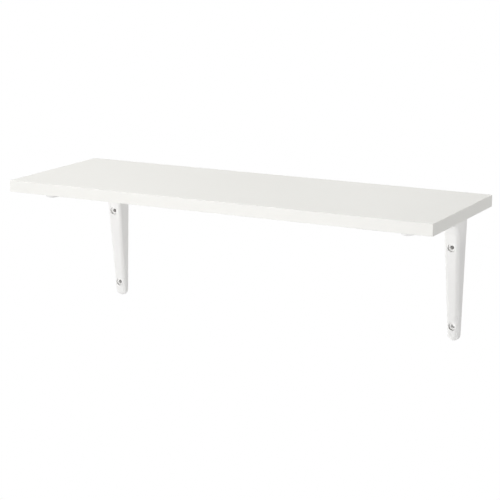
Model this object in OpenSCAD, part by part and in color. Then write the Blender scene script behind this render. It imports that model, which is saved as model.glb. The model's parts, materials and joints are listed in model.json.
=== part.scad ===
// Wall shelf: a foil-faced particleboard board on two moulded L brackets.
// +X runs along the board, the wall is the plane y = 0 with the board on its -Y side,
// and +Z is up. The origin is the centre of the four wall screw holes, on the wall.

/* [Board] */
// Length of the finished board
board_length = 590; // [560:10:900]
// Depth of the finished board, from the wall to its front edge
board_depth = 200; // [190:5:300]
// Thickness of the finished board, foils included
board_thickness = 15; // [15:1:22]
// Thickness of the foil on the two large faces
foil_thickness = 0.3; // [0.2:0.1:0.5]
// Thickness of the plastic band on each edge
band_thickness = 0.8; // [0.5:0.1:2]

/* [Brackets] */
// Distance between the two brackets, centre to centre
bracket_spacing = 502; // [400:2:520]
// Length of each limb, from the outer corner to its rounded tip
limb_length = 178.5; // [173:0.5:185]
// Width of a limb at the outer corner, where it touches the wall or the board
root_width = 25.2; // [24:0.2:28]
// Width lost per millimetre along a limb
width_taper = 0.0524; // [0.04:0.0004:0.056]
// Height of a limb at the outer corner, measured away from the face it touches
root_height = 26.6; // [26:0.2:30]
// Height lost per millimetre along a limb
height_taper = 0.1048; // [0.095:0.0002:0.107]
// Width lost per side and per millimetre of height, so that the moulding leaves its tool
side_draft = 0.068; // [0.05:0.002:0.075]
// Radius of the long rounded edges
edge_radius = 5; // [4:0.25:5.5]
// Radius of the hollow where the two limbs meet
corner_radius = 20; // [14:1:30]

/* [Moulding] */
// Thickness of the outer skin
skin = 2.8; // [2:0.1:3]
// Thickness of the ribs inside
rib_thickness = 2; // [1.5:0.1:3]
// Distance of the ribs' edges below the faces that touch the wall and the board
rib_recess = 0.8; // [0.4:0.1:2]
// Radius of the solid column around each screw hole
boss_radius = 7; // [6.5:0.25:7.5]

/* [Screw holes] */
// First hole, measured from the outer corner
near_hole = 53.5; // [50:0.5:56]
// Distance between the two holes of a limb
hole_gap = 105; // [100:1:106]
// Diameter of the screw holes
hole_diameter = 5; // [4.6:0.1:5.4]
// Diameter of the recess for the screw head
recess_diameter = 10.5; // [9.5:0.1:11]
// Depth of the recess for the screw head
recess_depth = 2.4; // [2:0.1:2.6]

/* [Board screws] */
// Length of the screws near the wall, under the head
long_screw = 30; // [28:1:31]
// Length of the screws near the front, under the head
short_screw = 18; // [16:1:19]
// Outer diameter of the thread
thread_diameter = 4; // [3.5:0.1:4.2]
// Diameter of the solid core of the thread
thread_core = 2.6; // [2.2:0.1:2.8]
// Distance from one turn of the thread to the next
thread_pitch = 1.8; // [1.6:0.1:2.2]
// Diameter of the screw heads
head_diameter = 8; // [7:0.1:8.6]
// Height of the screw heads
head_height = 2.3; // [2:0.1:2.6]

/* [Hidden] */

foil_colour = [0.93, 0.93, 0.91];
band_colour = [0.95, 0.945, 0.93];
chip_colour = [0.76, 0.64, 0.46];
plastic_colour = [0.93, 0.93, 0.92];
zinc_colour = [0.72, 0.73, 0.74];

// Heights: the origin lies midway between the upper and the lower wall screws.
far_hole = near_hole + hole_gap;
board_bottom = (near_hole + far_hole) / 2;
board_top = board_bottom + board_thickness;
left_x = -bracket_spacing / 2;
right_x = bracket_spacing / 2;

// The core, inside the foils and the bands
core_length = board_length - 2 * band_thickness;
core_depth = board_depth - 2 * band_thickness;
core_thickness = board_thickness - 2 * foil_thickness;
// Small rounding on the outer corners of the bands
band_radius = 0.5;

// Screws: the point past the thread, the shank without thread, the head's rounded edge
tip_length = 3;
plain_shank = 5;
head_edge = 0.8;
// The cross recess in a screw head
slot_length = 4.6;
slot_width = 1.1;
slot_depth = 1.4;
// A screw cuts its own hole in the board, a little larger than its thread.
hole_clearance = 0.1;
// Ribs across each limb, between its two bosses
rib_count = 3;
// Height of a recess's floor above the touching face, at distance s along the limb
function recess_floor(s) = height_at(s) - recess_depth;

// Curve steps: arcs of the bracket's section, of its tip and of its inner corner
arc_steps = 7;
tip_steps = 7;
corner_steps = 12;
// Keeps the crest of the round tip a narrow strip, so that no two of its points coincide
tip_crest = 0.004;
// The cavity starts this far outside the touching faces, so that it cuts them cleanly.
overcut = 1;
// Facets of a full circle
smooth = 48;

// Half the width of a limb at distance s from the outer corner, on the touching face
function half_width(s) = (root_width - width_taper * s) / 2;
// Height of a limb at distance s
function height_at(s) = root_height - height_taper * s;
// The tip is round in the front view: its radius is half the limb's width at its centre.
tip_radius = (root_width - width_taper * limb_length) / (2 - width_taper);
tip_centre = limb_length - tip_reach(0);
// Angle of the limb's sloping face, and the angle left for the inner corner's arc
slope = atan(height_taper);
arc_span = 90 - 2 * slope;
// The inner corner's arc touches both sloping faces: its centre lies on the diagonal.
arc_centre = (root_height + corner_radius / cos(slope)) / (1 + height_taper);
blend_start = arc_centre + corner_radius * sin(slope);

// One point on the rounded front edge of a section: [half width, height].
// h is the section's height, b its half width on the touching face, a the angle of the arc.
function edge_point(b, h, r, a) =
    [b - side_draft * (h - r) - r + r * cos(a), h - r + r * sin(a)];

// A section of the straight part, as [x, height] points from the right foot over the front
// to the left foot. inset moves it inwards, and below moves its feet below the touching face.
function straight_section(s, inset, below) =
    let (
        b = half_width(s) - inset,
        h = height_at(s) - inset,
        r = max(edge_radius - inset, 1.5),
        right = [
            [b, -below],
            for (i = [0 : arc_steps]) edge_point(b, h, r, 90 * i / arc_steps)
        ]
    )
    concat(right, [for (i = [len(right) - 1 : -1 : 0]) [-right[i][0], right[i][1]]]);

// A section of the round tip, at distance t past the tip's centre.
function tip_section(t, inset, below) =
    let (
        b = tip_radius - inset,
        h = height_at(tip_centre + t) - inset,
        r = max(edge_radius - inset, 1.5),
        last = acos(min(1, max(0, (t + tip_crest - edge_point(b, h, r, 90)[0]) / r))),
        right = [
            [sqrt(b * b - t * t), -below],
            for (i = [0 : arc_steps])
                let (p = edge_point(b, h, r, last * i / arc_steps))
                [sqrt(max(0, p[0] * p[0] - t * t)), p[1]]
        ]
    )
    concat(right, [for (i = [len(right) - 1 : -1 : 0]) [-right[i][0], right[i][1]]]);

// How far past its centre the tip's last section lies
function tip_reach(inset) =
    let (
        b = tip_radius - inset,
        h = height_at(limb_length) - inset,
        r = max(edge_radius - inset, 1.5)
    )
    0.995 * edge_point(b, h, r, 0)[0];

// A section in the inner corner: it spans from a foot on the touching faces to the arc.
// turn runs from 0, at the leg, to 1, at the arm.
function corner_section(turn, inset, below) =
    let (
        s = blend_start * abs(1 - 2 * turn),
        flat = straight_section(blend_start, inset, below),
        b = half_width(s) - inset,
        b_end = half_width(blend_start) - inset
    )
    [for (p = flat) [p[0] + sign(p[0]) * (p[1] <= 0 ? b - b_end : 0), p[1]]];

// Placing a section point in the side view, as [x, y, z] for a bracket that stands at x = 0
// with its outer corner at y = 0, z = 0.
function on_leg(p, s) = [p[0], -p[1], -s];
function on_arm(p, s) = [p[0], -s, -p[1]];

// Foot and front of a corner section, in the side view
function corner_foot(turn, below) =
    turn < 0.5 ? [below, -blend_start * (1 - 2 * turn) + below * 2 * turn]
               : [-blend_start * (2 * turn - 1) + below * (2 - 2 * turn), below];
function corner_front(turn, inset) =
    let (angle = slope + arc_span * turn, r = corner_radius + inset)
    [-arc_centre + r * cos(angle), -arc_centre + r * sin(angle)];

// The rounded edge keeps its true size along the arc, because its points go out along the radius.
function in_corner(section, turn, inset, below) =
    let (
        front = corner_front(turn, inset),
        h = height_at(blend_start) - inset,
        angle = slope + arc_span * turn,
        outward = [cos(angle), sin(angle)]
    )
    [for (p = section)
        let (q = p[1] <= 0 ? corner_foot(turn, below) : front + outward * (h - p[1]))
        [p[0], q[0], q[1]]];

// Every ring of the bracket's surface, from the leg's tip round the corner to the arm's tip
function rings(inset, below) =
    let (
        reach = tip_reach(inset),
        leg_tip = [for (i = [tip_steps : -1 : 1])
            let (t = reach * sin(90 * i / tip_steps))
            [for (p = tip_section(t, inset, below)) on_leg(p, tip_centre + t)]],
        leg_straight = [for (s = [tip_centre, blend_start])
            [for (p = straight_section(s, inset, below)) on_leg(p, s)]],
        corner = [for (i = [1 : corner_steps - 1])
            let (turn = i / corner_steps)
            in_corner(corner_section(turn, inset, below), turn, inset, below)],
        arm_straight = [for (s = [blend_start, tip_centre])
            [for (p = straight_section(s, inset, below)) on_arm(p, s)]],
        arm_tip = [for (i = [1 : tip_steps])
            let (t = reach * sin(90 * i / tip_steps))
            [for (p = tip_section(t, inset, below)) on_arm(p, tip_centre + t)]]
    )
    concat(leg_tip, leg_straight, corner, arm_straight, arm_tip);

// A closed solid through a list of rings of equal length
module skinned(ring_list) {
    n = len(ring_list[0]);
    m = len(ring_list);
    points = [for (ring = ring_list) for (p = ring) p];
    sides = [
        for (j = [0 : m - 2]) for (i = [0 : n - 1])
            let (k = (i + 1) % n)
            each [
                [j * n + i, (j + 1) * n + k, (j + 1) * n + i],
                [j * n + i, j * n + k, (j + 1) * n + k]
            ]
    ];
    first_cap = [for (i = [1 : n - 2]) [0, i + 1, i]];
    last_cap = [for (i = [1 : n - 2]) [(m - 1) * n, (m - 1) * n + i, (m - 1) * n + i + 1]];
    polyhedron(points = points, faces = concat(sides, first_cap, last_cap));
}

// The two screw holes of the leg and of the arm: each child is drawn along its hole,
// with z = 0 on the touching face and +z pointing out through the limb.
module at_holes() {
    for (s = [near_hole, far_hole]) {
        translate([0, 0, -s]) rotate([90, 0, 0]) children();
        translate([0, -s, 0]) rotate([180, 0, 0]) children();
    }
}

// The ribs of the leg and of the arm: a spine between the bosses and thin walls across it
module ribs() {
    for (turned = [false, true]) {
        multmatrix(turned ? [[1, 0, 0, 0], [0, 0, 1, 0], [0, 1, 0, 0], [0, 0, 0, 1]]
                          : [[1, 0, 0, 0], [0, 1, 0, 0], [0, 0, 1, 0], [0, 0, 0, 1]])
        translate([0, -root_height - rib_recess, 0]) {
            translate([-rib_thickness / 2, 0, -far_hole])
                cube([rib_thickness, root_height, hole_gap]);
            for (i = [1 : rib_count])
                translate([-root_width / 2, 0, -near_hole - hole_gap * i / (rib_count + 1)])
                    cube([root_width, root_height, rib_thickness]);
        }
    }
}

// A moulded bracket: an outer skin, open towards the wall and the board, with a boss around
// each screw hole, ribs along both limbs and a diagonal rib across the corner
module bracket(x) {
    color(plastic_colour)
    translate([x, 0, board_bottom])
    difference() {
        skinned(rings(0, 0));
        difference() {
            skinned(rings(skin, overcut));
            at_holes() cylinder(h = root_height, r = boss_radius, $fn = smooth);
            ribs();
            rotate([45, 0, 0])
                translate([-root_width / 2, -arc_centre * sqrt(2), -rib_thickness / 2])
                cube([root_width, arc_centre * sqrt(2) - 2 * rib_recess, rib_thickness]);
        }
        at_holes() translate([0, 0, -overcut])
            cylinder(h = root_height + 2 * overcut, d = hole_diameter, $fn = smooth);
        for (s = [near_hole, far_hole]) {
            translate([0, 0, -s]) rotate([90, 0, 0]) recess(s);
            translate([0, -s, 0]) rotate([180, 0, 0]) recess(s);
        }
    }
}

// The recess for a screw head, drawn along its hole from the touching face outwards
module recess(s) {
    translate([0, 0, recess_floor(s)])
        cylinder(h = 2 * recess_depth, d = recess_diameter, $fn = smooth);
}

// A screw, head down: its head's flat bears on the recess at height 0 and its shank goes up.
module screw(x, y, under_head) {
    turns = floor((under_head - tip_length - plain_shank) / thread_pitch);
    shank_end = under_head - tip_length;
    thread_start = shank_end - turns * thread_pitch;
    profile = concat(
        [[0, -head_height], [head_diameter / 2 - head_edge, -head_height]],
        [[head_diameter / 2, -head_height + head_edge], [head_diameter / 2, 0]],
        [[thread_core / 2, 0], [thread_core / 2, thread_start]],
        [for (i = [0 : turns - 1]) each [
            [thread_diameter / 2, thread_start + thread_pitch * (i + 0.45)],
            [thread_diameter / 2, thread_start + thread_pitch * (i + 0.55)],
            [thread_core / 2, thread_start + thread_pitch * (i + 1)]
        ]],
        [[0, under_head]]
    );
    color(zinc_colour)
    translate([x, -y, board_bottom - recess_floor(y)])
    difference() {
        rotate_extrude($fn = smooth) polygon(profile);
        for (a = [0, 90]) rotate(a)
            translate([-slot_length / 2, -slot_width / 2, -head_height - slot_depth])
            cube([slot_length, slot_width, 2 * slot_depth]);
    }
}

// The particleboard, with the four holes that the screws have cut in its underside
module board_core() {
    color(chip_colour)
    difference() {
        translate([-core_length / 2, -board_depth + band_thickness, board_bottom + foil_thickness])
            cube([core_length, core_depth, core_thickness]);
        screw_holes();
    }
}

module screw_holes() {
    for (x = [left_x, right_x]) {
        screw_hole(x, near_hole, long_screw);
        screw_hole(x, far_hole, short_screw);
    }
}

module screw_hole(x, y, under_head) {
    translate([x, -y, board_bottom - overcut])
        cylinder(
            h = under_head - recess_floor(y) + overcut + hole_clearance,
            d = thread_diameter + hole_clearance,
            $fn = smooth
        );
}

module foil(z) {
    translate([-core_length / 2, -board_depth + band_thickness, z])
        cube([core_length, core_depth, foil_thickness]);
}

module top_foil() {
    color(foil_colour) foil(board_top - foil_thickness);
}

module bottom_foil() {
    color(foil_colour)
    difference() {
        foil(board_bottom);
        screw_holes();
    }
}

// A band's section, upright, with its outer side at x = 0 and both outer corners rounded
module band_section() {
    intersection() {
        square([band_thickness, board_thickness]);
        union() {
            translate([0, band_radius])
                square([band_thickness, board_thickness - 2 * band_radius]);
            translate([band_radius, 0])
                square([band_thickness, board_thickness]);
            for (z = [band_radius, board_thickness - band_radius])
                translate([band_radius, z]) circle(r = band_radius, $fn = smooth);
        }
    }
}

// Bands along the board's length, across both ends
module long_band(y, turned) {
    color(band_colour)
    translate([0, y, board_bottom])
        mirror([0, turned ? 1 : 0, 0])
        rotate([90, 0, 90])
        linear_extrude(height = board_length, center = true) band_section();
}

// Bands on the two ends, between the long ones
module end_band(x, turned) {
    color(band_colour)
    translate([x, -board_depth / 2, board_bottom])
        mirror([turned ? 1 : 0, 0, 0])
        rotate([90, 0, 0])
        linear_extrude(height = core_depth, center = true) band_section();
}

module front_edge_band() { long_band(-board_depth, false); }
module back_edge_band() { long_band(0, true); }
module left_edge_band() { end_band(-board_length / 2, false); }
module right_edge_band() { end_band(board_length / 2, true); }
module left_bracket() { bracket(left_x); }
module right_bracket() { bracket(right_x); }
module left_rear_screw() { screw(left_x, near_hole, long_screw); }
module left_front_screw() { screw(left_x, far_hole, short_screw); }
module right_rear_screw() { screw(right_x, near_hole, long_screw); }
module right_front_screw() { screw(right_x, far_hole, short_screw); }

board_core();
top_foil();
bottom_foil();
front_edge_band();
back_edge_band();
left_edge_band();
right_edge_band();
left_bracket();
right_bracket();
left_rear_screw();
left_front_screw();
right_rear_screw();
right_front_screw();
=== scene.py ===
"""Wall shelf on two moulded brackets: materials, fine meshes, light and camera for the CAD model."""

import json
import math

import bmesh
import bpy
from mathutils import Euler, Matrix, Vector


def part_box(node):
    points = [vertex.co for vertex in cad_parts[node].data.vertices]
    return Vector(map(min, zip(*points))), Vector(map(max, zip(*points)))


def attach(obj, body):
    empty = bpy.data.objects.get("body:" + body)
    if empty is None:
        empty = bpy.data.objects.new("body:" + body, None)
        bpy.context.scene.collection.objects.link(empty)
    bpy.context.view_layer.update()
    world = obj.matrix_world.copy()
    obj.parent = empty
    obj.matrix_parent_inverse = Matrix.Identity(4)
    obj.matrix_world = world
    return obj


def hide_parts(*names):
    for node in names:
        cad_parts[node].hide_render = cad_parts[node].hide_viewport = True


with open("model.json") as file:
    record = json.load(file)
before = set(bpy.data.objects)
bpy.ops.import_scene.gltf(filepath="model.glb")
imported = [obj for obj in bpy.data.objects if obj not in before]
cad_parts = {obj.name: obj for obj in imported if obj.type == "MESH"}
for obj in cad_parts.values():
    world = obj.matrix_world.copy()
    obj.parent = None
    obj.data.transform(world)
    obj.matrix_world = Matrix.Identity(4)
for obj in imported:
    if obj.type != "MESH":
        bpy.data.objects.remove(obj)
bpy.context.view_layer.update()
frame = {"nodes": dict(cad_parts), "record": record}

MM = 0.001
COINCIDENT = 1e-7  # corners of a mesh nearer than this are one
AXIS_PARALLEL = 0.9999  # least part of a normal along an axis for a face square to that axis
EVEN_TILT = 1e-3  # tolerance for a face at 45 degrees between Y and Z

# Round cutters start at an odd angle, so that none of their corners falls on a limb's middle line.
START_ANGLE = 0.021

# ---------------------------------------------------------------- camera

CAMERA_PLACE_MM = (917.0, -1813.3, 482.7)
CAMERA_YAW = -27.97  # degrees; negative looks to the left
CAMERA_PITCH = 12.86  # degrees below the horizon
FOCAL_IN_WIDTHS = 3.1012  # focal length, as a multiple of the sensor's width
SENSOR_MM = 36.0


def make_camera():
    """The camera that sees the shelf from the front, the right and above."""
    data = bpy.data.cameras.new("camera")
    data.sensor_width = SENSOR_MM
    data.lens = FOCAL_IN_WIDTHS * SENSOR_MM
    data.clip_start = 0.05
    data.clip_end = 50
    camera = bpy.data.objects.new("camera", data)
    camera.location = Vector(CAMERA_PLACE_MM) * MM
    camera.rotation_euler = Euler((math.radians(90 - CAMERA_PITCH), 0, math.radians(-CAMERA_YAW)))
    bpy.context.scene.collection.objects.link(camera)
    bpy.context.scene.camera = camera


# ---------------------------------------------------------------- small helpers


def clamped(value):
    """value, held between 0 and 1"""
    return max(0.0, min(1.0, value))


def new_object(name, mesh):
    obj = bpy.data.objects.new(name, mesh)
    bpy.context.scene.collection.objects.link(obj)
    return obj


def mesh_from(name, bm):
    """A mesh from a bmesh, with its doubles merged and its faces turned outwards."""
    bmesh.ops.remove_doubles(bm, verts=bm.verts, dist=COINCIDENT)
    bmesh.ops.recalc_face_normals(bm, faces=bm.faces)
    mesh = bpy.data.meshes.new(name)
    bm.to_mesh(mesh)
    bm.free()
    return mesh


def shade(mesh, angle=32):
    """Smooth shading, with edges sharper than the angle in degrees kept crisp. Faces square to an
    axis or at 45 degrees between Y and Z are flat."""
    mesh.set_sharp_from_angle(angle=math.radians(angle))
    for face in mesh.polygons:
        x, y, z = (abs(v) for v in face.normal)
        square = max(x, y, z) > AXIS_PARALLEL
        tilted = x < EVEN_TILT and abs(y - z) < EVEN_TILT
        face.use_smooth = not (square or tilted)


def combined(target, tool, operation):
    """The boolean of two meshes, as a new mesh. Both inputs are used up."""
    a = new_object("boolean_target", target)
    b = new_object("boolean_tool", tool)
    modifier = a.modifiers.new("boolean", "BOOLEAN")
    modifier.operation = operation
    modifier.solver = "EXACT"
    modifier.object = b
    result = bpy.data.meshes.new_from_object(
        a.evaluated_get(bpy.context.evaluated_depsgraph_get())
    )
    for obj in (a, b):
        bpy.data.objects.remove(obj)
    for mesh in (target, tool):
        bpy.data.meshes.remove(mesh)
    return result


def weld(mesh, distance):
    """Merge the nearly coincident corners that booleans leave behind."""
    bm = bmesh.new()
    bm.from_mesh(mesh)
    bmesh.ops.remove_doubles(bm, verts=bm.verts, dist=distance)
    bmesh.ops.dissolve_degenerate(bm, edges=bm.edges, dist=distance)
    bm.to_mesh(mesh)
    bm.free()


def stitch(bm, rows):
    """Quads between neighbouring rows of corners."""
    for one, two in zip(rows, rows[1:]):
        for k in range(len(one) - 1):
            bm.faces.new((one[k], one[k + 1], two[k + 1], two[k]))


def lathed(name, profile, segments):
    """A closed mesh of revolution about Z, from (radius, height) points that start and end on the
    axis."""
    angles = [START_ANGLE + 2 * math.pi * k / segments for k in range(segments)]
    bm = bmesh.new()
    rings = []
    for radius, height in profile:
        if radius == 0:
            rings.append([bm.verts.new((0, 0, height))])
            continue
        rings.append(
            [bm.verts.new((radius * math.cos(a), radius * math.sin(a), height)) for a in angles]
        )
    for low, high in zip(rings, rings[1:]):
        for k in range(segments):
            n = (k + 1) % segments
            corners = [low[k % len(low)], low[n % len(low)], high[n % len(high)], high[k % len(high)]]
            face = list(dict.fromkeys(corners))
            if len(face) > 2:
                bm.faces.new(face)
    return mesh_from(name, bm)


def block(name, low, high):
    """A box between two corners."""
    bm = bmesh.new()
    bmesh.ops.create_cube(bm, size=1)
    low, high = Vector(low), Vector(high)
    for vert in bm.verts:
        vert.co = Vector(low[i] + (high[i] - low[i]) * (vert.co[i] + 0.5) for i in range(3))
    return mesh_from(name, bm)


# ---------------------------------------------------------------- materials


class Nodes:
    """A node material under construction, with short calls for the nodes used below."""

    def __init__(self, name):
        self.material = bpy.data.materials.new(name)
        self.material.use_nodes = True
        self.tree = self.material.node_tree
        self.shader = self.tree.nodes["Principled BSDF"]
        self.place = self.tree.nodes.new("ShaderNodeTexCoord").outputs["Object"]

    def node(self, kind, **inputs):
        made = self.tree.nodes.new("ShaderNode" + kind)
        for name, value in inputs.items():
            self.feed(made.inputs[name.replace("_", " ")], value)
        return made

    def feed(self, socket, value):
        if isinstance(value, bpy.types.NodeSocket):
            self.tree.links.new(value, socket)
        else:
            socket.default_value = value

    def stretched(self, scale):
        return self.node("Mapping", Vector=self.place, Scale=scale).outputs["Vector"]

    def noise(self, scale, detail=2.0, roughness=0.5, where=None):
        return self.node(
            "TexNoise",
            Vector=where or self.place,
            Scale=scale,
            Detail=detail,
            Roughness=roughness,
        ).outputs["Fac"]

    def span(self, value, low, high, start=0.0, end=1.0):
        """value, mapped from start..end to low..high"""
        made = self.node("MapRange", Value=value)
        made.inputs["From Min"].default_value = start
        made.inputs["From Max"].default_value = end
        made.inputs["To Min"].default_value = low
        made.inputs["To Max"].default_value = high
        return made.outputs["Result"]

    def math(self, operation, a, b=0.0):
        made = self.tree.nodes.new("ShaderNodeMath")
        made.operation = operation
        self.feed(made.inputs[0], a)
        self.feed(made.inputs[1], b)
        return made.outputs["Value"]

    def mix(self, factor, a, b):
        """A colour between a and b"""
        made = self.tree.nodes.new("ShaderNodeMix")
        made.data_type = "RGBA"
        self.feed(made.inputs["Factor"], factor)
        for socket, value in zip((made.inputs[6], made.inputs[7]), (a, b)):
            self.feed(socket, (*value, 1) if isinstance(value, tuple) else value)
        return made.outputs[2]

    def bump(self, height, distance, strength=1.0, normal=None):
        made = self.node("Bump", Height=height, Distance=distance, Strength=strength)
        if normal:
            self.feed(made.inputs["Normal"], normal)
        return made.outputs["Normal"]

    def finish(self, **inputs):
        for name, value in inputs.items():
            self.feed(self.shader.inputs[name.replace("_", " ")], value)
        return self.material


def foil_material():
    """White melamine foil: even colour with a faint cloudiness, satin, with a fine pressed grain."""
    m = Nodes("board_foil")
    clouds = m.noise(9.0, 3.0)
    grain = m.noise(1500.0, 3.0, 0.6)
    pressed = m.noise(1.0, 3.0, 0.55, m.stretched((110.0, 620.0, 620.0)))
    waves = m.noise(60.0, 2.0)
    colour = m.mix(clouds, (0.842, 0.836, 0.802), (0.868, 0.861, 0.829))
    colour = m.mix(m.span(grain, 0.0, 0.3, 0.35, 0.75), colour, (0.803, 0.797, 0.765))
    roughness = m.span(m.math("ADD", pressed, grain), 0.33, 0.50, 0.7, 1.3)
    normal = m.bump(waves, 0.00008, 0.5)
    normal = m.bump(pressed, 0.00009, 0.6, normal)
    normal = m.bump(grain, 0.00005, 0.8, normal)
    return m.finish(Base_Color=colour, Roughness=roughness, Normal=normal, IOR=1.5)


def band_material():
    """Extruded white plastic band: fine lines along its length, a little warmer than the foil."""
    m = Nodes("edge_band")
    lines = m.noise(1.0, 3.0, 0.6, m.stretched((25.0, 25.0, 2200.0)))
    speckle = m.noise(1900.0, 2.0)
    waves = m.noise(45.0, 2.0)
    colour = m.mix(m.noise(14.0), (0.866, 0.859, 0.826), (0.886, 0.878, 0.848))
    colour = m.mix(m.span(speckle, 0.0, 0.25, 0.4, 0.75), colour, (0.83, 0.825, 0.79))
    roughness = m.span(lines, 0.32, 0.48, 0.3, 0.7)
    normal = m.bump(waves, 0.00008, 0.4)
    normal = m.bump(lines, 0.00003, 0.6, normal)
    normal = m.bump(speckle, 0.00003, 0.7, normal)
    return m.finish(Base_Color=colour, Roughness=roughness, Normal=normal, IOR=1.5)


def plastic_material():
    """White moulded plastic: a fine spark-eroded texture, uneven gloss and broad flow marks."""
    m = Nodes("bracket_plastic")
    texture = m.noise(2600.0, 3.0, 0.62)
    pits = m.node("TexVoronoi", Vector=m.place, Scale=1500.0).outputs["Distance"]
    flow = m.noise(1.0, 2.0, 0.5, m.stretched((90.0, 26.0, 26.0)))
    colour = m.mix(flow, (0.850, 0.844, 0.834), (0.870, 0.864, 0.856))
    colour = m.mix(m.span(texture, 0.0, 0.28, 0.42, 0.72), colour, (0.795, 0.788, 0.777))
    roughness = m.span(m.math("ADD", texture, flow), 0.38, 0.55, 0.7, 1.3)
    normal = m.bump(flow, 0.00012, 0.35)
    normal = m.bump(pits, 0.00002, 0.5, normal)
    normal = m.bump(texture, 0.00005, 0.8, normal)
    return m.finish(Base_Color=colour, Roughness=roughness, Normal=normal, IOR=1.49)


def zinc_material():
    """Bright zinc plating: cloudy crystals and faint stains."""
    m = Nodes("screw_zinc")
    crystals = m.node("TexVoronoi", Vector=m.place, Scale=1600.0).outputs["Distance"]
    stain = m.noise(420.0, 3.0)
    colour = m.mix(stain, (0.50, 0.51, 0.53), (0.64, 0.63, 0.60))
    roughness = m.span(m.math("ADD", crystals, stain), 0.20, 0.42, 0.4, 1.2)
    normal = m.bump(crystals, 0.000015, 0.6)
    normal = m.bump(m.noise(2400.0, 2.0), 0.00001, 0.5, normal)
    return m.finish(Base_Color=colour, Roughness=roughness, Normal=normal, Metallic=1.0)


def chip_material():
    """Pressed wood chips: flat flakes of several browns with dark glue lines between them."""
    m = Nodes("particleboard")
    flat = m.stretched((1.0, 1.0, 2.6))
    cells = m.node("TexVoronoi", Vector=flat, Scale=420.0)
    fibre = m.noise(1500.0, 4.0, 0.65)
    tone = m.span(cells.outputs["Distance"], 0.0, 1.0, 0.0, 0.7)
    colour = m.mix(fibre, (0.42, 0.29, 0.15), (0.68, 0.53, 0.33))
    colour = m.mix(tone, colour, (0.30, 0.20, 0.10))
    normal = m.bump(cells.outputs["Distance"], 0.0002, 0.8)
    return m.finish(Base_Color=colour, Roughness=m.span(fibre, 0.75, 0.95), Normal=normal)


# ---------------------------------------------------------------- board

# The outer edges of the finished board are scraped to this radius; where a band meets
# a foil there is only a hairline.
BOARD_EDGE = 0.55 * MM
HAIRLINE = 0.06 * MM
BOARD_EDGE_STEPS = 5
ON_OUTLINE = 1e-6  # a face this near the board's box, in metres, lies on its outside


def slab(node, outer):
    """A thin board piece in the box of its CAD node. Edges on the board's own outline are rounded to
    BOARD_EDGE, and the others to a hairline. outer is the box of the finished board."""
    mesh = block(node, *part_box(node))

    def on_outline(edge):
        """True where both faces of the edge lie on the outside of the finished board."""
        a, b = (mesh.vertices[i].co for i in edge.vertices)
        outside = [
            abs(a[axis] - b[axis]) < ON_OUTLINE
            and min(abs(a[axis] - outer[0][axis]), abs(a[axis] - outer[1][axis])) < ON_OUTLINE
            for axis in range(3)
        ]
        return sum(outside) == 2

    weights = mesh.attributes.new("bevel_weight_edge", "FLOAT", "EDGE")
    for i, edge in enumerate(mesh.edges):
        weights.data[i].value = 1.0 if on_outline(edge) else HAIRLINE / BOARD_EDGE
    obj = new_object(node, mesh)
    modifier = obj.modifiers.new("bevel", "BEVEL")
    modifier.limit_method = "WEIGHT"
    modifier.width = BOARD_EDGE
    modifier.segments = BOARD_EDGE_STEPS
    rounded = bpy.data.meshes.new_from_object(
        obj.evaluated_get(bpy.context.evaluated_depsgraph_get())
    )
    bpy.data.objects.remove(obj)
    bpy.data.meshes.remove(mesh)
    shade(rounded, angle=40)
    return rounded


# ---------------------------------------------------------------- brackets

# The moulding's dimensions, in millimetres, as in the CAD source. Along a limb, s is the distance
# from the outer corner. Its height is measured away from the wall or the board that it touches.
ROOT_WIDTH = 25.2
WIDTH_TAPER = 0.0524
ROOT_HEIGHT = 26.6
HEIGHT_TAPER = 0.1048
SIDE_DRAFT = 0.068
EDGE_RADIUS = 5.0
CORNER_RADIUS = 20.0
SKIN = 2.8
RIB = 2.0
RIB_RECESS = 0.8
BOSS_RADIUS = 7.0
RIB_COUNT = 3  # cross ribs in each limb, at equal distances between its two holes
HOLE_RADIUS = 2.5
RECESS_RADIUS = 5.25
RECESS_DEPTH = 2.4
NEAR_HOLE = 53.5
FAR_HOLE = 158.5
LIMB_LENGTH = (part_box("left_bracket")[1].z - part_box("left_bracket")[0].z) / MM

# Roundings that only the fine mesh has
RIM_ROUND = 0.35  # at the rim that touches the wall and the board
MOUTH_ROUND = 0.1  # at the mouth of a recess
FLOOR_ROUND = 0.25  # in the corner of a recess's floor
HOLE_CHAMFER = 0.15  # where a hole leaves the recess's floor
INNER_RADIUS = 1.5  # the least radius of the long edges inside the skin

SLOPE = math.atan(HEIGHT_TAPER)
ARC_CENTRE = (ROOT_HEIGHT + CORNER_RADIUS / math.cos(SLOPE)) / (1 + HEIGHT_TAPER)
BLEND_START = ARC_CENTRE + CORNER_RADIUS * math.sin(SLOPE)
TIP_RADIUS = (ROOT_WIDTH - WIDTH_TAPER * LIMB_LENGTH) / (2 - WIDTH_TAPER)
TIP_CENTRE = LIMB_LENGTH - TIP_RADIUS

RIM_STEPS = 3
SIDE_STEPS = 4
ARC_STEPS = 9
FRONT_STEPS = 5
TIP_STEPS = 40
CORNER_STEPS = 26
STRAIGHT_STEPS = 60
FLOOR_STEPS = 4
MOUTH_STEPS = 6
HOLE_SEGMENTS = 72
RECESS_SEGMENTS = 96

OVERCUT = 1.0  # how far a cutter reaches past the surface that it opens
PAST_WALLS = 40.0  # a length and width that reach past the walls of the cavity
SAME_HEIGHT = 1e-9
NO_AREA = 1e-9  # in square millimetres
MERGE_TIP = 1e-4  # corners of the limb's parts that coincide
MERGE_CUTS = 0.0015  # corners that booleans leave beside each other


def height_at(s):
    """Height of a limb at distance s."""
    return ROOT_HEIGHT - HEIGHT_TAPER * s


def edge_radius(inset):
    """Radius of a limb's long edges, or of the cavity's when inset is the skin."""
    return max(EDGE_RADIUS - inset, INNER_RADIUS)


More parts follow.
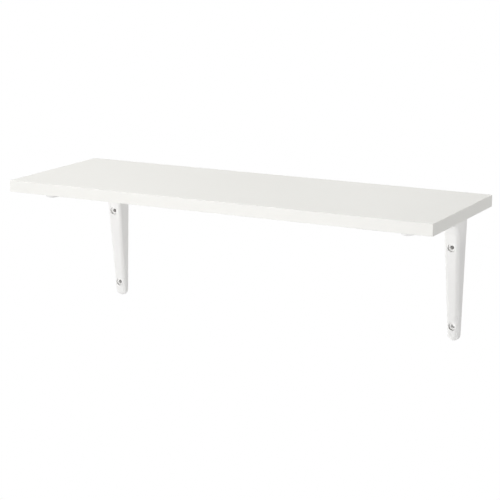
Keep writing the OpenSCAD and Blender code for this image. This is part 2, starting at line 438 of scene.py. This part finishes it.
def half_section(s, inset, below):
    """Half of a limb's section at distance s: (x, height) points from the middle of the face that
    touches, over the side, to the middle of the front. inset moves it inwards for the cavity, and
    below moves the touching face outwards."""
    half_width = (ROOT_WIDTH - WIDTH_TAPER * s) / 2 - inset
    front = height_at(s) - inset
    radius = edge_radius(inset)
    points = [(0.0, -below)]
    if inset == 0:
        for i in range(RIM_STEPS + 1):
            angle = math.radians(90 / RIM_STEPS * i)
            x = half_width - RIM_ROUND + RIM_ROUND * math.sin(angle)
            points.append((x, RIM_ROUND - RIM_ROUND * math.cos(angle)))
    else:
        points.append((half_width, -below))
    foot = points[-1][1]
    arc_foot = front - radius
    for i in range(1, SIDE_STEPS):
        height = foot + (arc_foot - foot) * i / SIDE_STEPS
        points.append((half_width - SIDE_DRAFT * max(height, 0), height))
    side = half_width - SIDE_DRAFT * arc_foot
    for i in range(ARC_STEPS + 1):
        angle = math.radians(90 * i / ARC_STEPS)
        points.append((side - radius + radius * math.cos(angle), arc_foot + radius * math.sin(angle)))
    flat = side - radius
    for i in range(1, FRONT_STEPS + 1):
        points.append((flat * (1 - i / FRONT_STEPS), front))
    return points


def corner_half(turn, inset, below):
    """Half of a section in the inner corner, as (x, y, z) points. turn is 0 at the leg and 1 at the
    arm. The front goes round the corner's arc, the foot runs straight along the wall and then the
    board, and the side between them leans from one to the other."""
    points = half_section(BLEND_START, inset, below)
    s = BLEND_START * abs(1 - 2 * turn)
    widening = WIDTH_TAPER * (BLEND_START - s) / 2
    angle = SLOPE + (math.pi / 2 - 2 * SLOPE) * turn
    outward = Vector((0, math.cos(angle), math.sin(angle)))
    front = Vector((0, -ARC_CENTRE, -ARC_CENTRE)) + outward * (CORNER_RADIUS + inset)
    if turn < 0.5:
        foot = Vector((0, 0, -BLEND_START * (1 - 2 * turn)))
        away = Vector((0, -1, 0)).lerp(Vector((0, -1, -1)), 2 * turn)
    else:
        foot = Vector((0, -BLEND_START * (2 * turn - 1), 0))
        away = Vector((0, 0, -1)).lerp(Vector((0, -1, -1)), 2 - 2 * turn)
    front_height = height_at(BLEND_START) - inset
    arc_foot = front_height - edge_radius(inset)
    side_end = front + outward * (front_height - arc_foot)
    rim = 0.0 if inset else RIM_ROUND
    placed = []
    for x, height in points:
        if height >= arc_foot - SAME_HEIGHT:
            place = front + outward * (front_height - height)
            near_foot = 0.0
        elif height <= rim + SAME_HEIGHT:
            place = foot + away * height
            near_foot = 1.0
        else:
            up_side = (height - rim) / (arc_foot - rim)
            place = (foot + away * rim).lerp(side_end, up_side)
            near_foot = 1.0 - up_side
        placed.append(Vector((x + widening * near_foot if x else 0.0, place.y, place.z)))
    return placed


def limb_solid(name, inset, below):
    """The whole outside of a bracket, or of its cavity, in millimetres: the leg runs down from the
    origin and the arm forwards, both of them with a round tip."""
    bm = bmesh.new()

    def on_leg(x, height, s):
        return Vector((x, -height, -s))

    def on_arm(x, height, s):
        return Vector((x, -s, -height))

    halves = []
    for i in range(STRAIGHT_STEPS):
        s = TIP_CENTRE + (BLEND_START - TIP_CENTRE) * i / STRAIGHT_STEPS
        halves.append([on_leg(*point, s) for point in half_section(s, inset, below)])
    for i in range(CORNER_STEPS + 1):
        halves.append(corner_half(i / CORNER_STEPS, inset, below))
    for i in range(1, STRAIGHT_STEPS + 1):
        s = BLEND_START + (TIP_CENTRE - BLEND_START) * i / STRAIGHT_STEPS
        halves.append([on_arm(*point, s) for point in half_section(s, inset, below)])
    for side in (1, -1):
        rows = [[bm.verts.new((side * p.x, p.y, p.z)) for p in half] for half in halves]
        stitch(bm, rows)

    # a round tip is the last section, turned half round its middle while it keeps losing height
    profile = half_section(TIP_CENTRE, inset, below)
    top = profile[-1][1]
    for on_limb in (on_leg, on_arm):
        rows = []
        for i in range(TIP_STEPS + 1):
            angle = math.pi * i / TIP_STEPS
            row = []
            for x, height in profile:
                past = x * math.sin(angle)
                drop = HEIGHT_TAPER * past * clamped(height / top)
                point = on_limb(x * math.cos(angle), height - drop, TIP_CENTRE + past)
                row.append(bm.verts.new(point))
            rows.append(row)
        stitch(bm, rows)
    bmesh.ops.remove_doubles(bm, verts=bm.verts, dist=MERGE_TIP)
    without_area = [face for face in bm.faces if face.calc_area() < NO_AREA]
    bmesh.ops.delete(bm, geom=without_area, context="FACES_ONLY")
    return mesh_from(name, bm)


# Turns that set local +Z, the way out through a limb, along -Y for the leg and -Z for the arm
LEG_TURN = Matrix(((1, 0, 0, 0), (0, 0, -1, 0), (0, 1, 0, 0), (0, 0, 0, 1)))
ARM_TURN = Matrix(((1, 0, 0, 0), (0, -1, 0, 0), (0, 0, -1, 0), (0, 0, 0, 1)))
# Leg and arm mirror each other: this swaps Y and Z
LEG_TO_ARM = Matrix(((1, 0, 0, 0), (0, 0, 1, 0), (0, 1, 0, 0), (0, 0, 0, 1)))


def along_holes(mesh_maker):
    """Meshes at the four screw holes. mesh_maker(s, to_tip) gives the one for distance s along +Z,
    with z = 0 on the touching face and the limb's tip towards local Y times to_tip."""
    made = []
    for s in (NEAR_HOLE, FAR_HOLE):
        for turn, place, to_tip in ((LEG_TURN, (0, 0, -s), -1), (ARM_TURN, (0, -s, 0), 1)):
            mesh = mesh_maker(s, to_tip)
            mesh.transform(Matrix.Translation(place) @ turn)
            made.append(mesh)
    return made


def boss(_s, _to_tip):
    """The same plain cylinder at every hole, longer than the limb is high."""
    low, high = -2 * OVERCUT, ROOT_HEIGHT
    profile = [(0, low), (BOSS_RADIUS, low), (BOSS_RADIUS, high), (0, high)]
    return lathed("boss", profile, HOLE_SEGMENTS)


def hole_cutter(s, _to_tip):
    """The screw hole, with a broken edge at the recess's floor."""
    floor = height_at(s) - RECESS_DEPTH
    profile = [
        (0, -OVERCUT),
        (HOLE_RADIUS, -OVERCUT),
        (HOLE_RADIUS, floor - HOLE_CHAMFER),
        (HOLE_RADIUS + HOLE_CHAMFER + OVERCUT, floor + OVERCUT),
        (0, floor + OVERCUT),
    ]
    return lathed("hole_cutter", profile, HOLE_SEGMENTS)


def surface_height(x, s):
    """Height of a limb's front surface at x, distance s: level in the middle, then round."""
    height = height_at(s)
    arc_foot = height - EDGE_RADIUS
    flat = (ROOT_WIDTH - WIDTH_TAPER * s) / 2 - SIDE_DRAFT * arc_foot - EDGE_RADIUS
    over = abs(x) - flat
    if over <= 0:
        return height
    return arc_foot + math.sqrt(EDGE_RADIUS**2 - over**2)


def recess_cutter(s, to_tip):
    """The recess for a screw head: a rounded corner at its floor, and a mouth whose rounding follows
    the limb's front. to_tip is the direction of the limb's tip along local Y."""
    floor = height_at(s) - RECESS_DEPTH
    lift = 0.006  # keeps the end of the mouth's rounding just outside the limb's front
    bm = bmesh.new()
    columns = []
    for k in range(RECESS_SEGMENTS):
        turn = START_ANGLE + 2 * math.pi * k / RECESS_SEGMENTS
        across, along = math.cos(turn), math.sin(turn)
        column = []
        for i in range(FLOOR_STEPS + 1):
            angle = math.radians(90 / FLOOR_STEPS * i)
            radius = RECESS_RADIUS - FLOOR_ROUND + FLOOR_ROUND * math.sin(angle)
            column.append((radius, floor + FLOOR_ROUND - FLOOR_ROUND * math.cos(angle)))
        for i in range(MOUTH_STEPS + 1):
            angle = math.radians(90 / MOUTH_STEPS * i)
            radius = RECESS_RADIUS + MOUTH_ROUND * (1 - math.cos(angle))
            front = surface_height(radius * across, s + to_tip * radius * along)
            column.append((radius, front - MOUTH_ROUND * (1 - math.sin(angle)) + lift))
        # outside the limb the cutter widens a little and rises well past the front
        radius, height = column[-1]
        column += [(radius + 0.4, height + 0.5), (radius + 0.4, floor + 8)]
        columns.append([bm.verts.new((r * across, r * along, z)) for r, z in column])
    for one, two in zip(columns, columns[1:] + columns[:1]):
        for i in range(len(one) - 1):
            bm.faces.new((one[i], two[i], two[i + 1], one[i + 1]))
    bm.faces.new([column[0] for column in columns])
    bm.faces.new([column[-1] for column in columns])
    return mesh_from("recess_cutter", bm)


def rib_blocks():
    """The ribs, longer than the cavity is wide and deep: in each limb a spine between the holes and
    the cross ribs, and a diagonal one in the corner."""
    half = PAST_WALLS / 2
    boxes = [((-RIB / 2, -PAST_WALLS, -FAR_HOLE), (RIB / 2, -RIB_RECESS, -NEAR_HOLE))]
    for i in range(1, RIB_COUNT + 1):
        s = NEAR_HOLE + (FAR_HOLE - NEAR_HOLE) * i / (RIB_COUNT + 1)
        boxes.append(((-half, -PAST_WALLS, -s), (half, -RIB_RECESS, -s + RIB)))
    leg_ribs = [block("rib", low, high) for low, high in boxes]
    arm_ribs = [block("rib", low, high) for low, high in boxes]
    for mesh in arm_ribs:
        mesh.transform(LEG_TO_ARM)
        mesh.flip_normals()
    diagonal = block(
        "rib",
        (-half, -ARC_CENTRE * 2**0.5, -RIB / 2),
        (half, -2 * RIB_RECESS, RIB / 2),
    )
    diagonal.transform(Matrix.Rotation(math.radians(45), 4, "X"))
    return [*leg_ribs, *arm_ribs, diagonal]


def bracket_mesh():
    """One bracket in metres, with its outer corner at the origin."""
    cavity = limb_solid("cavity", SKIN, OVERCUT)
    for mesh in along_holes(boss) + rib_blocks():
        cavity = combined(cavity, mesh, "DIFFERENCE")
    body = limb_solid("bracket", 0.0, 0.0)
    for maker in (recess_cutter, hole_cutter):
        for mesh in along_holes(maker):
            body = combined(body, mesh, "DIFFERENCE")
    body = combined(body, cavity, "DIFFERENCE")
    weld(body, MERGE_CUTS)
    body.transform(Matrix.Scale(MM, 4))
    shade(body)
    return body


# ---------------------------------------------------------------- screws

# The screws' dimensions, in millimetres, as in the CAD source
HEAD_RADIUS = 4.0
HEAD_HEIGHT = 2.3
CORE_RADIUS = 1.3
CREST_RADIUS = 2.0
THREAD_PITCH = 1.8
TIP_LENGTH = 3.0
PLAIN_SHANK = 5.0
SLOT_LENGTH = 4.6
SLOT_WIDTH = 1.1
SLOT_DEPTH = 1.4

# An arm of the cross recess narrows towards its floor: parts of its length and its width
SLOT_FLOOR = (0.45, 0.72)
SLOT_MOUTH = (1.12, 1.05)  # a little outside the head
SLOT_OUTSIDE = 0.3

# One turn of the thread, from root to root: (part of the pitch, part of the thread's height)
THREAD_PROFILE = (
    (0.0, 0.0),
    (0.2, 0.06),
    (0.4, 0.62),
    (0.47, 1.0),
    (0.53, 1.0),
    (0.6, 0.62),
    (0.8, 0.06),
)
THREAD_SEGMENTS = 36
MERGE_THREAD = 1e-5
IN_HEAD = 0.5  # how far the shank reaches into the head
NECK_LENGTH = 0.8  # over this length the shank's radius grows towards the head
NECK_GROWTH = 0.35
HEAD_SEGMENTS = 72
CROWN_STEPS = 14
CROWN_FOOT = 0.45  # height of the head's straight side, with its foot
FOOT_ROUND = 0.2  # the head's lower edge, next to the plastic


def eased(value):
    """A smooth step from 0 to 1."""
    value = clamped(value)
    return value * value * (3 - 2 * value)


def shank_radius(z, part, under_head):
    """Radius of the shank at height z, for part of the thread's height."""
    to_point = clamped((under_head - z) / TIP_LENGTH)
    run_in = eased((z - PLAIN_SHANK) / THREAD_PITCH)
    core = CORE_RADIUS * to_point
    crest = (CREST_RADIUS - CORE_RADIUS) * part * run_in * to_point
    neck = NECK_GROWTH * eased(1 - z / NECK_LENGTH)
    return core + crest + neck


def threaded_shank(under_head):
    """A shank with a helical thread that runs out into a point, from inside the head up to
    z = under_head."""
    around = THREAD_SEGMENTS
    per_turn = len(THREAD_PROFILE)
    turns = math.ceil((under_head - PLAIN_SHANK) / THREAD_PITCH) + 1
    thread_start = PLAIN_SHANK - THREAD_PITCH
    bm = bmesh.new()

    grid = {}
    first, last = -2 * per_turn, turns * per_turn - 1
    for row in range(first, last + 1):
        share, part = THREAD_PROFILE[row % per_turn]
        for k in range(around):
            z = PLAIN_SHANK + THREAD_PITCH * (row // per_turn + share + k / around)
            z = max(thread_start, min(under_head, z))
            radius = shank_radius(z, part, under_head)
            a = 2 * math.pi * k / around
            grid[row, k] = bm.verts.new((radius * math.cos(a), radius * math.sin(a), z))

    def vertex(row, k):
        """A corner of the grid. A turn ends where the next one starts."""
        if k < around:
            return grid[row, k]
        return grid.get((row + per_turn, 0))

    for row in range(first, last):
        for k in range(around):
            face = [vertex(row, k), vertex(row, k + 1), vertex(row + 1, k + 1), vertex(row + 1, k)]
            if None not in face:
                bm.faces.new(face)
    bmesh.ops.remove_doubles(bm, verts=bm.verts, dist=MERGE_THREAD)
    bmesh.ops.dissolve_degenerate(bm, edges=bm.edges, dist=MERGE_THREAD)
    rings = []
    for z in (-IN_HEAD, -0.1, 0.0, NECK_LENGTH, thread_start):
        ring = []
        for k in range(around):
            a = 2 * math.pi * k / around
            r = shank_radius(z, 0, under_head)
            ring.append(bm.verts.new((r * math.cos(a), r * math.sin(a), z)))
        rings.append(ring)
    stitch(bm, [ring + ring[:1] for ring in rings])
    bm.faces.new(rings[0])
    bmesh.ops.remove_doubles(bm, verts=bm.verts, dist=MERGE_THREAD)
    return mesh_from("threaded_shank", bm)


def slot_cutter(turn):
    """One arm of the cross recess, turned about the screw's axis."""
    bm = bmesh.new()
    bmesh.ops.create_cube(bm, size=1)
    for vert in bm.verts:
        at_floor = vert.co.z > 0
        length, width = SLOT_FLOOR if at_floor else SLOT_MOUTH
        depth = SLOT_DEPTH if at_floor else -SLOT_OUTSIDE
        vert.co = Vector(
            (SLOT_LENGTH * length * vert.co.x, SLOT_WIDTH * width * vert.co.y, depth - HEAD_HEIGHT)
        )
    mesh = mesh_from("slot_cutter", bm)
    mesh.transform(Matrix.Rotation(turn, 4, "Z"))
    return mesh


def screw_mesh(under_head, turn):
    """A pan-headed chipboard screw in metres, head down, with its head's flat at height 0."""
    profile = [(0, -HEAD_HEIGHT)]
    for i in range(1, CROWN_STEPS + 1):
        share = math.sin(math.radians(90 * i / CROWN_STEPS))
        crown = (HEAD_HEIGHT - CROWN_FOOT) * (1 - share**3) ** 0.5
        profile.append((HEAD_RADIUS * share, -CROWN_FOOT - crown))
    profile += [
        (HEAD_RADIUS, -FOOT_ROUND),
        (HEAD_RADIUS - 0.3 * FOOT_ROUND, -0.3 * FOOT_ROUND),
        (HEAD_RADIUS - FOOT_ROUND, 0),
        (0, 0),
    ]
    head = lathed("screw_head", profile, HEAD_SEGMENTS)
    body = combined(head, threaded_shank(under_head), "UNION")
    for quarter in (0, 1):
        body = combined(body, slot_cutter(turn + quarter * math.pi / 2), "DIFFERENCE")
    body.transform(Matrix.Scale(MM, 4))
    shade(body, angle=35)
    return body


# ---------------------------------------------------------------- put together

make_camera()
materials = {
    "board_foil": foil_material(),
    "edge_band": band_material(),
    "bracket_plastic": plastic_material(),
    "screw_zinc": zinc_material(),
    "particleboard": chip_material(),
}
slot_of = {part["node"]: part["material_slot"] for part in frame["record"]["subparts"]}


def dress(obj, slot_name):
    """Give an object the material of its slot."""
    obj.data.materials.clear()
    obj.data.materials.append(materials[slot_name])


for name, obj in frame["nodes"].items():
    dress(obj, slot_of[name])


def stand_in(name, mesh, node, place=(0, 0, 0)):
    """A finer piece shown instead of a CAD node."""
    mesh.transform(Matrix.Translation(place))
    obj = new_object(name, mesh)
    dress(obj, slot_of[node])
    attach(obj, "root")
    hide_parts(node)


bands = ("front_edge_band", "back_edge_band", "left_edge_band", "right_edge_band")
board = (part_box("front_edge_band")[0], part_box("back_edge_band")[1])
for node in (*bands, "top_foil"):
    stand_in(node + "_skin", slab(node, board), node)

moulding = bracket_mesh()
for node in ("left_bracket", "right_bracket"):
    low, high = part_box(node)
    corner = Vector(((low.x + high.x) / 2, high.y, high.z))
    stand_in(node + "_moulding", moulding.copy(), node, corner)
bpy.data.meshes.remove(moulding)

screws = ("left_rear_screw", "left_front_screw", "right_rear_screw", "right_front_screw")
for i, node in enumerate(screws):
    low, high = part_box(node)
    under_head = (high.z - low.z) / MM - HEAD_HEIGHT
    seat = Vector(((low.x + high.x) / 2, (low.y + high.y) / 2, low.z + HEAD_HEIGHT * MM))
    slot_turn = 0.4 + 1.3 * i  # each screw stopped at its own angle
    stand_in(node + "_threaded", screw_mesh(under_head, slot_turn), node, seat)

# ---------------------------------------------------------------- light and floor

WORLD_LIGHT = 0.15
FLOOR_Z = -2.3
FLOOR_RADIUS = 3.4
MIDDLE = (0, -0.1, 0.05)  # of the shelf, where the lamps aim


def make_world():
    """Faint light from all round, and plain white behind the shelf."""
    world = bpy.data.worlds.new("studio")
    bpy.context.scene.world = world
    world.use_nodes = True
    tree = world.node_tree
    tree.nodes.clear()
    out = tree.nodes.new("ShaderNodeOutputWorld")
    mix = tree.nodes.new("ShaderNodeMixShader")
    path = tree.nodes.new("ShaderNodeLightPath")
    light = tree.nodes.new("ShaderNodeBackground")
    seen = tree.nodes.new("ShaderNodeBackground")
    light.inputs["Color"].default_value = (1.0, 1.0, 0.99, 1)
    light.inputs["Strength"].default_value = WORLD_LIGHT
    seen.inputs["Color"].default_value = (1, 1, 1, 1)
    tree.links.new(path.outputs["Is Camera Ray"], mix.inputs[0])
    tree.links.new(light.outputs[0], mix.inputs[1])
    tree.links.new(seen.outputs[0], mix.inputs[2])
    tree.links.new(mix.outputs[0], out.inputs["Surface"])


def soft_box(name, place, aim, size, power):
    """A square lamp; size in metres, power in watts."""
    data = bpy.data.lights.new(name, "AREA")
    data.shape = "SQUARE"
    data.size = size
    data.energy = power
    lamp = bpy.data.objects.new(name, data)
    lamp.location = place
    lamp.rotation_euler = (Vector(aim) - Vector(place)).to_track_quat("-Z", "Y").to_euler()
    bpy.context.scene.collection.objects.link(lamp)


def make_floor():
    """A plain pale disc well below the shelf, fading out towards its rim."""
    bm = bmesh.new()
    bmesh.ops.create_circle(bm, cap_ends=True, segments=96, radius=FLOOR_RADIUS)
    floor = new_object("floor", mesh_from("floor", bm))
    floor.location = (0, 0, FLOOR_Z)
    m = Nodes("pale_floor")
    tone = m.mix(m.noise(6.0), (0.90, 0.90, 0.89), (0.93, 0.93, 0.92))
    from_centre = m.tree.nodes.new("ShaderNodeVectorMath")
    from_centre.operation = "LENGTH"
    m.feed(from_centre.inputs[0], m.place)
    fade = m.span(from_centre.outputs["Value"], 1.0, 0.0, 0.5 * FLOOR_RADIUS, FLOOR_RADIUS)
    floor.data.materials.append(m.finish(Base_Color=tone, Roughness=0.8, Alpha=fade))


make_world()
# The key is low and in front, so that it reaches the floors of the recesses in the legs. The lamps
# at the left and the right light the ends and the sides. The one low at the back stays under the
# board's top, so that it lights the hollow backs without a sheen on the top.
soft_box("key", (-1.5, -3.5, -0.8), MIDDLE, 1.6, 47.6)
soft_box("left", (-4.6, -0.4, 0.35), MIDDLE, 2.4, 76)
soft_box("overhead", (-0.5, -0.3, 1.9), (0, -0.1, 0.1), 1.8, 42.3)
soft_box("side", (4.6, 0.95, 0.35), MIDDLE, 2.4, 115)
soft_box("low", (-0.4, -3.4, -1.9), MIDDLE, 2.0, 61)
soft_box("back", (-0.4, 3.2, -0.2), MIDDLE, 2.0, 9.5)
soft_box("low_back", (-1.6, 2.9, -0.8), MIDDLE, 1.2, 22)
make_floor()

view_settings = bpy.context.scene.view_settings
view_settings.view_transform = "Standard"
view_settings.look = "None"
